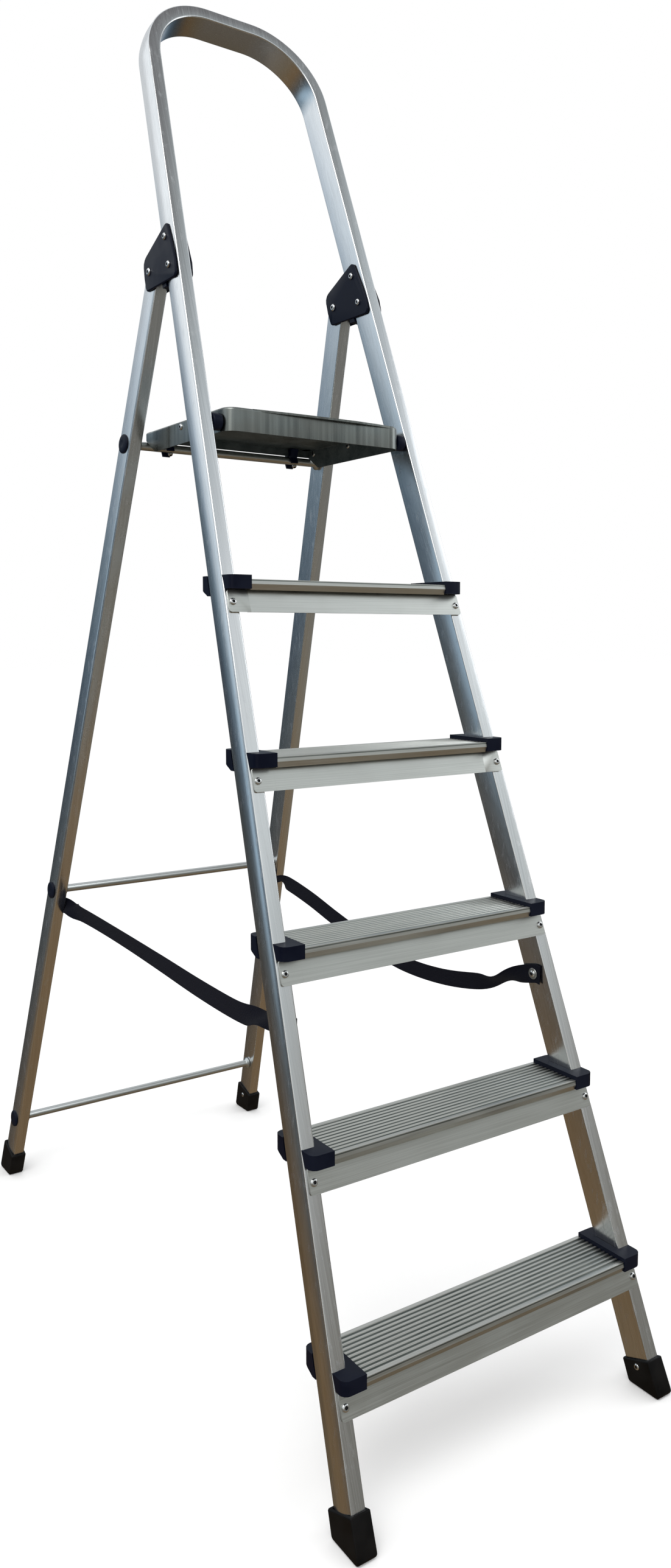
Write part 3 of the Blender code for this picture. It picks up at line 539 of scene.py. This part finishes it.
def make_rear_tube(name, side):
    outline = tube_section(LEG_WIDTH, REAR_CROWN)
    along = Vector((-side * LEG_SPLAY, -math.tan(REAR_LEAN), 1)).normalized()
    across = along.cross(REAR_INTO).normalized()
    if across.x * side < 0:
        across = -across
    rings = []
    for z in (LEG_LOW_Z, LEG_MIDDLE_Z, LEG_TOP_Z):
        front = REAR_FOOT_Y - z * math.tan(REAR_LEAN)
        centre = Vector((side * leg_x(z), front + TUBE_DEPTH / 2 / math.cos(REAR_LEAN), z))
        rings.append(ring(centre, across, REAR_INTO, outline))
    tube = add_piece(f"rear_tube_{name}", loft(rings), [TUBE_METAL[REAR]], REAR)
    stand_for(tube, f"rear_leg_{name}")


# Rivets, pins and bars
def rivet_head(radius, height):
    """Half profile of a pulled rivet's head: flange, dome and the mandrel's hole."""
    points = [(0.0, radius), (height * 0.22, radius)]
    for k in range(1, 7):
        angle = math.radians(78 * k / 6)
        points.append((height * (0.22 + 0.78 * math.sin(angle)), radius * (0.40 + 0.60 * math.cos(angle))))
    rim = points[-1][1]
    return points + [(height * 0.96, rim * 0.88), (height * 0.45, rim * 0.80)]


def add_rivet(name, seat, outward, radius, height, body):
    """A rivet head standing on SEAT, whose sunk middle is dark."""
    mesh = turned_mesh(seat, outward, [(-0.0006, radius * 0.6)] + rivet_head(radius, height), 32)
    piece = add_piece(name, mesh, [RIVET_STEEL, HOLLOW], body, 55)
    axis = outward.normalized()
    for face in mesh.polygons:
        offset = face.center - seat
        deep = (offset - axis * offset.dot(axis)).length < radius * 0.50
        if deep and face.normal.dot(axis) > -0.5 and offset.dot(axis) < height * 0.97:
            face.material_index = 1
    return piece


def make_step_rivets():
    """Each tread's fixing, seen as a domed head on its front plate."""
    for step in range(1, 6):
        for name in SIDES:
            node = f"step_rivet_{step}_{name}"
            seat = middle_of(node) - FRONT_INTO * STEP_RIVET_REACH
            head = add_rivet(f"{node}_fine", seat, -FRONT_INTO, STEP_RIVET_HEAD, STEP_RIVET_HEIGHT, FRONT)
            stand_for(head, node)


def make_through_rivets():
    """Hinge rivets and hinge pins: a shank with a head at each end."""
    for name, side in SIDES.items():
        for kind, head in THROUGH_RIVETS.items():
            node = f"{kind}_{name}"
            low, high = (Vector(c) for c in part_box(node))
            middle = (low + high) / 2
            half = (high.x - low.x) / 2 - 0.0026
            shank = turned_mesh(middle - X * half, X, [(0, SHANK_RADIUS), (2 * half, SHANK_RADIUS)], 16)
            stand_for(add_piece(f"{node}_shank", shank, [RIVET_STEEL], BODY_OF[node]), node)
            for place in (-1, 1):
                seat = middle + X * place * half
                label = "outer" if place == side else "inner"
                add_rivet(f"{node}_head_{label}", seat, X * place, head, THROUGH_RIVET_HEIGHT, BODY_OF[node])


def make_crossbars():
    for bar in ("top", "middle", "bottom"):
        node = f"crossbar_{bar}"
        low, high = (Vector(c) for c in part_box(node))
        middle = (low + high) / 2
        end = (high.x - low.x) / 2
        collar = end - LEG_WIDTH - 0.0010
        radius, flare = BAR_RADIUS, COLLAR_RADIUS
        half = [
            (collar - 0.0062, radius), (collar - 0.0050, radius + 0.0006), (collar - 0.0036, flare - 0.0012),
            (collar - 0.0028, flare), (collar - 0.0008, flare), (collar - 0.0001, flare - 0.0008),
            (collar, radius), (end, radius),
        ]
        profile = [(-a, r) for a, r in reversed(half)] + half
        bar_piece = add_piece(f"{node}_fine", turned_mesh(middle, X, profile, 40), [ZINC], REAR, 50)
        stand_for(bar_piece, node)
        for name, side in SIDES.items():
            make_bar_cap(f"crossbar_cap_{bar}_{name}", side)


def make_bar_cap(node, side):
    """Domed black button with a shallow dish, on the leg's outer face."""
    across = Vector((side, 0, LEG_SPLAY * math.cos(REAR_LEAN))).normalized()
    low, high = (Vector(c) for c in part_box(node))
    radius = (high.y - low.y) / 2
    start = (low + high) / 2 - across * 0.0017
    profile = [(0, radius * 0.985), (0.0004, radius), (0.0013, radius)]
    for k in range(1, 9):
        angle = math.radians(80 * k / 8)
        profile.append((0.0013 + 0.0024 * math.sin(angle), radius * math.cos(angle) ** 0.45))
    profile += [(0.0037, radius * 0.40), (0.0033, radius * 0.30), (0.0032, radius * 0.1)]
    stand_for(add_piece(f"{node}_fine", turned_mesh(start, across, profile, 40), [NAVY_PLASTIC], REAR), node)


# Straps
def smooth_route(points, count):
    """COUNT evenly spread points on a Catmull-Rom curve through POINTS."""
    knots = [points[0] * 2 - points[1], *points, points[-1] * 2 - points[-2]]
    route = []
    for k in range(count + 1):
        place = (len(points) - 1) * k / count
        i = min(int(place), len(points) - 2)
        t = place - i
        a, b, c, d = knots[i:i + 4]
        route.append(((b * 2) + (c - a) * t + (a * 2 - b * 5 + c * 4 - d) * t * t
                      + (b * 3 - a - c * 3 + d) * t * t * t) / 2)
    return route


def strap_route(name, side):
    """The strap's centre line, from the stile's inner face back to the leg's."""
    heights = {
        "left": [(-0.352, 0.4935), (-0.340, 0.4935), (-0.294, 0.4875), (-0.251, 0.4795), (-0.202, 0.4745),
                 (-0.100, 0.4755), (0.013, 0.4815), (0.130, 0.4890), (0.240, 0.4960), (0.330, 0.5000),
                 (0.3665, 0.5005)],
        "right": [(-0.352, 0.4910), (-0.340, 0.4910), (-0.300, 0.4790), (-0.2497, 0.4583), (-0.160, 0.4425),
                  (-0.063, 0.4399), (0.030, 0.4520), (0.120, 0.4690), (0.210, 0.4880), (0.297, 0.5000),
                  (0.3665, 0.5005)],
    }
    front_y, rear_y = heights[name][0][0], heights[name][-1][0]
    front_x = stile_x(0.515) - TUBE_WIDTH / 2 - 0.0014
    rear_x = leg_x(0.520) - LEG_WIDTH / 2 - 0.0012
    points = []
    for y, z in heights[name]:
        t = (y - front_y) / (rear_y - front_y)
        inset = 0.009 * math.sin(math.pi * min(1, max(0, (t - 0.04) / 0.92)))
        points.append(Vector((side * (front_x + (rear_x - front_x) * t - inset), y, z)))
    return points


def make_strap(name, side):
    route = smooth_route(strap_route(name, side), 110)
    lengths = [0.0]
    for a, b in zip(route, route[1:]):
        lengths.append(lengths[-1] + (b - a).length)
    total = lengths[-1]
    half, thick = STRAP_WIDTH / 2, STRAP_THICKNESS / 2
    spots = (-half + STRAP_EDGE, -0.6 * half, -0.2 * half, 0.2 * half, 0.6 * half, half - STRAP_EDGE)
    profile = [(-half, 0)] + [(a, thick) for a in spots]
    profile += [(half, 0)] + [(a, -thick) for a in reversed(spots)]
    rings = []
    for i, point in enumerate(route):
        tangent = (route[min(i + 1, len(route) - 1)] - route[max(i - 1, 0)]).normalized()
        s = lengths[i]
        front_neck = math.exp(-((s - 0.078) / 0.032) ** 2)
        rear_neck = math.exp(-((total - s - 0.045) / 0.020) ** 2)
        drift = 0.14 * math.sin(2 * math.pi * s / total)
        twist = side * (1.05 * front_neck + 1.15 * rear_neck + drift)
        wide = (UP - tangent * UP.dot(tangent)).normalized()
        flat = wide.cross(tangent)
        across = wide * math.cos(twist) + flat * math.sin(twist)
        normal = across.cross(tangent)
        rings.append([point + across * a + normal * b for a, b in profile])
    mesh = loft(rings)
    lay_weave(mesh, lengths, rings)
    strap = add_object(f"strap_{name}_woven", mesh, [WEBBING], 60)
    stand_for(strap, f"strap_{name}")
    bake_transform(strap)


def lay_weave(mesh, lengths, rings):
    """UVs in metres: across the webbing and along it."""
    count = len(rings[0])
    layer = mesh.uv_layers.new(name="weave")
    for loop in mesh.loops:
        station = loop.vertex_index // count
        point = mesh.vertices[loop.vertex_index].co
        edge = (rings[station][count // 2] - rings[station][0]).normalized()
        layer.data[loop.index].uv = ((point - rings[station][0]).dot(edge), lengths[station])


def make_strap_fixings():
    """A washer and a rivet head through each strap end, on the stile's and the leg's inner face."""
    for name, side in SIDES.items():
        route = strap_route(name, side)
        near_rear_end = route[-2] * 0.35 + route[-1] * 0.65
        inward = X * -side
        for label, point, body in (("front", route[1], FRONT), ("rear", near_rear_end, REAR)):
            seat = point + inward * (STRAP_THICKNESS / 2 + 0.0001)
            washer = [
                (-0.0004, WASHER_RADIUS - 0.0004), (0.0002, WASHER_RADIUS), (0.0009, WASHER_RADIUS),
                (0.0013, WASHER_RADIUS - 0.0004), (0.0013, 0.0042),
            ]
            mesh = turned_mesh(seat, inward, washer, 36)
            add_piece(f"strap_washer_{label}_{name}", mesh, [ZINC], body)
            head = seat + inward * 0.0012
            add_rivet(f"strap_rivet_{label}_{name}", head, inward, STRAP_RIVET_HEAD, STEP_RIVET_HEIGHT, body)


# Moulded pieces
def refine_moulded_pieces():
    for name in SIDES:
        for step in range(1, 6):
            refined(f"step_cap_{step}_{name}", NAVY_PLASTIC, CAP_ROUNDING, 4)
        for place in ("outer", "inner"):
            refined(f"hinge_plate_{place}_{name}", NAVY_PLASTIC, PLATE_ROUNDING, 2)
        for end in ("front", "rear"):
            refined(f"{end}_foot_{name}", BOOT_PLASTIC, FOOT_ROUNDING)
        refined(f"platform_hook_{name}", NAVY_PLASTIC, HOOK_ROUNDING)


def make_bushes():
    """Spacer rings beside the platform, and the pins through them."""
    for name, side in SIDES.items():
        node = f"platform_bush_{name}"
        low, high = (Vector(c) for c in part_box(node))
        length = high.x - low.x
        start = Vector((low.x if side > 0 else high.x, middle_of(node).y, middle_of(node).z))
        radius = (high.z - low.z) / 2
        profile = [(0, 0.0042), (0, radius - 0.0014), (0.0006, radius - 0.0004), (0.0014, radius)]
        profile += [(length - 0.0014, radius), (length - 0.0006, radius - 0.0004), (length, radius - 0.0014),
                    (length, 0.0042)]
        mesh = turned_mesh(start, X * side, profile, 48)
        stand_for(add_piece(f"{node}_fine", mesh, [NAVY_PLASTIC], FRONT), node)
        refined(f"platform_pin_{name}", RIVET_STEEL, 0.0003, 2)


# Treads and platform
def refine_treads():
    for step in range(1, 6):
        refined(f"step_{step}", TREAD_METAL, TREAD_ROUNDING, 2)


def rim_stations():
    """Plan of the platform's rim, from its left rear end round both front corners, as (x, y, outward)."""
    r, half = PLATFORM_CORNER, PLATFORM_HALF_WIDTH
    straight = PLATFORM_FRONT_Y + r
    side = [PLATFORM_REAR_Y + (straight - PLATFORM_REAR_Y) * k / 24 for k in range(24)]
    right = [(half, y, Vector((1, 0, 0))) for y in side]
    for k in range(15):
        t = math.radians(90 * k / 14)
        outward = Vector((math.cos(t), -math.sin(t), 0))
        right.append((half - r + r * outward.x, straight + r * outward.y, outward))
    left = [(-x, y, Vector((-n.x, n.y, 0))) for x, y, n in right]
    return left + right[::-1]


def make_platform():
    """Folded sheet: a rim bent down round three sides, a grooved top, and a lip in front and behind."""
    make_platform_rim()
    add_sheet_part("platform_top", groove_profile(), PLATFORM_HALF_WIDTH - SHEET_STEP)
    add_sheet_part("platform_rear_lip", rear_lip_profile(), REAR_LIP_HALF_WIDTH)
    make_platform_front_lip()


def make_platform_rim():
    """The flange, whose lower edge slopes up towards the rear end of each side."""
    top, low = PLATFORM_TOP_Z, PLATFORM_TOP_Z - PLATFORM_FLANGE
    sheet, bend = SHEET_THICKNESS, SHEET_BEND
    inner = bend - sheet
    slope_start = PLATFORM_REAR_Y - FLANGE_SLOPE_LENGTH
    rings = []
    for x, y, outward in rim_stations():
        edge = low + max(0.0, (y - slope_start) * FLANGE_SLOPE)
        profile = [(0, edge)]
        profile += [(bend - bend * math.cos(t), top - bend + bend * math.sin(t)) for t in quarter_turn(6)]
        profile += [(0.016, top), (0.016, top - sheet)]
        profile += [(bend - inner * math.sin(t), top - bend + inner * math.cos(t)) for t in quarter_turn(3)]
        profile.append((sheet, edge))
        rings.append([Vector((x, y, 0)) - outward * a + UP * z for a, z in profile])
    stand_for(add_sheet("platform_rim", rings), "platform")


def rear_lip_profile():
    """The rear edge's section as (y, z): flat, then turned down to just above the crossbar."""
    top, sheet, bend = PLATFORM_TOP_Z, SHEET_THICKNESS, SHEET_BEND
    rear = PLATFORM_REAR_Y - 0.0001
    points = [(rear - 0.012, top - 0.0002)]
    for t in quarter_turn(6):
        points.append((rear - bend + bend * math.sin(t), top - 0.0002 - bend + bend * math.cos(t)))
    points += [(rear, REAR_LIP_Z), (rear - sheet, REAR_LIP_Z)]
    return points + [(rear - sheet, top - sheet), (rear - 0.012, top - sheet)]


def make_platform_front_lip():
    """A thin lip that bows forward from the front edge."""
    front = PLATFORM_FRONT_Y
    plan = [
        (-0.100, front + 0.001), (-0.045, front - 0.0035), (0.010, front - 0.0052), (0.060, front - 0.0055),
        (0.095, front - 0.0032), (0.124, front + 0.0005), (0.118, front + 0.010), (-0.100, front + 0.010),
    ]
    heights = (PLATFORM_TOP_Z - 0.0028, PLATFORM_TOP_Z - 0.0001)
    add_sheet("platform_front_lip", [[Vector((x, y, z)) for x, y in plan] for z in heights])


def add_sheet(name, rings):
    """A folded sheet part, duller and painted darker as shade on its faces that look inwards or down."""
    mesh = loft(rings)
    piece = add_piece(name, mesh, [SHEET_METAL, SHEET_INSIDE_PAINTED_SHADE], PLATFORM, 35)
    for face in mesh.polygons:
        outwards = Vector((face.center.x, face.center.y - 0.01, 0)).normalized()
        # Painted shade: faces that look inwards or down take the much darker inside finish.
        if face.normal.dot(outwards) < -0.3 or face.normal.z < -0.5:
            face.material_index = 1
    return piece


def quarter_turn(steps):
    return [math.radians(90 * k / steps) for k in range(steps + 1)]


def groove_profile():
    """The top sheet's section as (y, z), with shallow grip grooves."""
    top, front = PLATFORM_TOP_Z - 0.00004, PLATFORM_FRONT_Y + SHEET_STEP
    points = [(front, top)]
    first, last = PLATFORM_FRONT_Y + 0.024, PLATFORM_REAR_Y - 0.016
    for k in range(TOP_GROOVES):
        y = first + (last - first) * k / (TOP_GROOVES - 1)
        points += [(y - GROOVE_MOUTH, top), (y - GROOVE_FLOOR, top - GROOVE_DEPTH)]
        points += [(y + GROOVE_FLOOR, top - GROOVE_DEPTH), (y + GROOVE_MOUTH, top)]
    rear, under = PLATFORM_REAR_Y - 0.0003, top - 0.0017
    return points + [(rear, top), (rear, under), (front, under)]


def add_sheet_part(name, section, half):
    add_sheet(name, [[Vector((x, y, z)) for y, z in section] for x in (-half, half)])


def make_platform_fixings():
    """Rivet heads on the platform's side flanges, and a screw at each hook's tip."""
    low, high = (Vector(c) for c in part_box("platform"))
    for name, side in SIDES.items():
        outer = (high.x if side > 0 else -low.x) * side
        for label, y in FLANGE_RIVET_PLACES.items():
            seat = Vector((outer, y, high.z - FLANGE_RIVET_DROP))
            if label == "middle":
                add_rivet(f"flange_rivet_{name}", seat, X * side, SMALL_HEAD, SMALL_HEIGHT, PLATFORM)
            inside = seat - X * side * SHEET_THICKNESS
            piece_name = f"flange_rivet_{label}_inside_{name}"
            add_rivet(piece_name, inside, X * -side, SMALL_HEAD, SMALL_HEIGHT, PLATFORM)
        hook_low, hook_high = (Vector(c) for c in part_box(f"platform_hook_{name}"))
        tip = Vector(((hook_low.x + hook_high.x) / 2, hook_low.y + 0.0035, hook_low.z + 0.0030))
        facing = Vector((0, -0.6, -0.8))
        add_rivet(f"hook_screw_{name}", tip, facing, HOOK_SCREW_HEAD, HOOK_SCREW_HEIGHT, PLATFORM)


def make_foot_rivets():
    """One rivet through each boot's inner side."""
    for name, side in SIDES.items():
        front_z, rear_z = FRONT_BOOT_RIVET_Z, REAR_BOOT_RIVET_Z
        front_y = FRONT_FOOT_Y + front_z * math.tan(FRONT_LEAN)
        rear_y = REAR_FOOT_Y - rear_z * math.tan(REAR_LEAN)
        front_x = stile_x(front_z) - TUBE_WIDTH / 2
        rear_x = leg_x(rear_z) - LEG_WIDTH / 2
        for end, body, place in (
            ("front", FRONT, (front_x, front_y, front_z)),
            ("rear", REAR, (rear_x, rear_y, rear_z)),
        ):
            x, y, z = place
            seat = Vector((side * (x - BOOT_DEPTH), y + TUBE_DEPTH / 2 / math.cos(FRONT_LEAN), z))
            label = f"{end}_foot_rivet_{name}"
            add_rivet(label, seat, X * -side, FOOT_RIVET_HEAD, FOOT_RIVET_HEIGHT, body)


# Surroundings
def make_camera():
    camera = bpy.data.cameras.new("camera")
    camera.lens = 26.48
    camera.sensor_width = 36
    camera.shift_x = -0.01126
    camera.shift_y = -0.02585
    view = bpy.data.objects.new("camera", camera)
    view.location = (-0.8534, -1.4266, 0.9346)
    view.rotation_euler = [math.radians(a) for a in (84.652, 0, -34.679)]
    bpy.context.collection.objects.link(view)
    bpy.context.scene.camera = view


def make_floor():
    half = 30
    corners = [(-half, -half, 0), (half, -half, 0), (half, half, 0), (-half, half, 0)]
    mesh = bpy.data.meshes.new("floor")
    mesh.from_pydata(corners, [], [(0, 1, 2, 3)])
    mesh.materials.append(pale_floor())
    floor = bpy.data.objects.new("floor", mesh)
    floor.location.z = -0.0005
    floor.visible_glossy = False
    bpy.context.collection.objects.link(floor)


def add_softbox(name, place, target, size, power, colour):
    lamp = bpy.data.lights.new(name, "AREA")
    lamp.shape = "RECTANGLE"
    lamp.size, lamp.size_y = size
    lamp.energy = power
    lamp.color = colour
    light = bpy.data.objects.new(name, lamp)
    light.location = place
    light.rotation_euler = (Vector(target) - Vector(place)).to_track_quat("-Z", "Y").to_euler()
    bpy.context.collection.objects.link(light)


def yard_behind(t, height, x, y, z):
    """The reflected yard behind the ladder: sky, skyline and ground, varied by bearing."""
    view = t.ramp(height, {
        -1.0: (0.165, 0.150, 0.130), -0.70: (0.150, 0.118, 0.078), -0.50: (0.165, 0.105, 0.050),
        -0.38: (0.115, 0.085, 0.055), -0.25: (0.072, 0.074, 0.072), -0.12: (0.060, 0.074, 0.080),
        -0.02: (0.060, 0.086, 0.120), 0.05: (0.095, 0.145, 0.190), 0.10: (0.125, 0.180, 0.222),
        0.17: (0.25, 0.33, 0.41), 0.27: (0.56, 0.65, 0.74), 0.37: (0.98, 1.02, 1.05), 1.0: (1.0, 1.03, 1.06),
    })
    bearing = t.math("DIVIDE", t.math("MULTIPLY", x, -1.0), t.math("MAXIMUM", y, 0.02))
    dim = t.spread(bearing, 0.38, 0.56, 0.68, 1)
    view = t.blend(1.0, view, t.blend(dim, (0, 0, 0), (1.0, 1.0, 1.0)), "MULTIPLY")
    gap = t.math("MULTIPLY", t.spread(bearing, 0.96, 1.12), t.spread(bearing, 1.40, 1.75, 1, 0))
    lit = t.math("MULTIPLY", gap, t.spread(z, -0.20, -0.06))
    opening = t.blend(t.spread(z, 0.20, 0.34), t.blend(lit, view, (0.42, 0.58, 0.72)), view)
    glow = t.math("MULTIPLY", t.spread(bearing, 0.62, 0.76), t.spread(z, 0.06, 0.18))
    return t.blend(t.math("MULTIPLY", glow, 0.34), opening, (0.92, 0.98, 1.0))


def yard_ahead(t, height, x, y, z):
    """The reflected yard in front of the ladder, with one bright doorway to the left."""
    view = t.ramp(height, {
        -1.0: (0.16, 0.11, 0.06), -0.70: (0.18, 0.118, 0.062), -0.57: (0.20, 0.17, 0.12),
        -0.42: (0.175, 0.172, 0.155), -0.20: (0.15, 0.15, 0.14), 0.02: (0.19, 0.18, 0.155),
        0.12: (0.28, 0.28, 0.265), 0.19: (0.43, 0.44, 0.43), 0.33: (0.50, 0.54, 0.55),
        0.45: (0.74, 0.79, 0.80), 0.58: (0.70, 0.73, 0.75), 0.69: (0.52, 0.57, 0.60),
        0.76: (0.31, 0.34, 0.345), 0.83: (0.17, 0.17, 0.175), 1.0: (0.12, 0.12, 0.125),
    })
    doorway = t.math("MULTIPLY", t.spread(y, -0.74, -0.66), t.spread(y, -0.46, -0.36, 1, 0))
    doorway = t.math("MULTIPLY", doorway, t.spread(x, -0.60, -0.50, 1, 0))
    doorway = t.math("MULTIPLY", doorway, t.spread(z, -0.15, 0.00))
    return t.blend(doorway, view, (1.0, 1.0, 0.97))


def make_world():
    """White all round, but reflections show a yard: a bright sky, a dark skyline, brown ground."""
    world = bpy.data.worlds.new("studio")
    world.use_nodes = True
    bpy.context.scene.world = world
    t = Tree(world.node_tree)
    place = t.node("ShaderNodeTexCoord").outputs["Generated"]
    axes = t.split(place)
    x, y, z = axes["X"], axes["Y"], axes["Z"]
    wander = t.math("MULTIPLY_ADD", t.noise(place, (2.6, 2.6, 3.4), 2.0), 0.08, -0.04)
    height = t.math("ADD", z, wander)
    ahead = yard_ahead(t, height, x, y, z)
    yard = t.blend(t.spread(y, -0.12, 0.12), ahead, yard_behind(t, height, x, y, z))
    glossy = t.node("ShaderNodeLightPath").outputs["Is Glossy Ray"]
    background = t.tree.nodes["Background"]
    t.link(t.blend(glossy, (1.0, 1.0, 1.0), yard), background.inputs["Color"])


def main():
    bpy.context.scene.view_settings.view_transform = "Standard"
    make_camera()
    make_floor()
    make_world()
    add_softbox("key_softbox", (-1.6, -1.2, 3.2), (0, 0, 1.0), (1.6, 1.6), 26, (1.0, 0.99, 0.97))
    add_softbox("fill_softbox", (2.4, -1.0, 2.0), (0, 0, 0.9), (1.2, 1.8), 10, (0.94, 0.97, 1.0))
    make_front_tube()
    for name, side in SIDES.items():
        make_rear_tube(name, side)
        make_strap(name, side)
    make_step_rivets()
    make_through_rivets()
    make_crossbars()
    make_strap_fixings()
    refine_moulded_pieces()
    make_bushes()
    refine_treads()
    make_platform()
    make_platform_fixings()
    make_foot_rivets()


main()
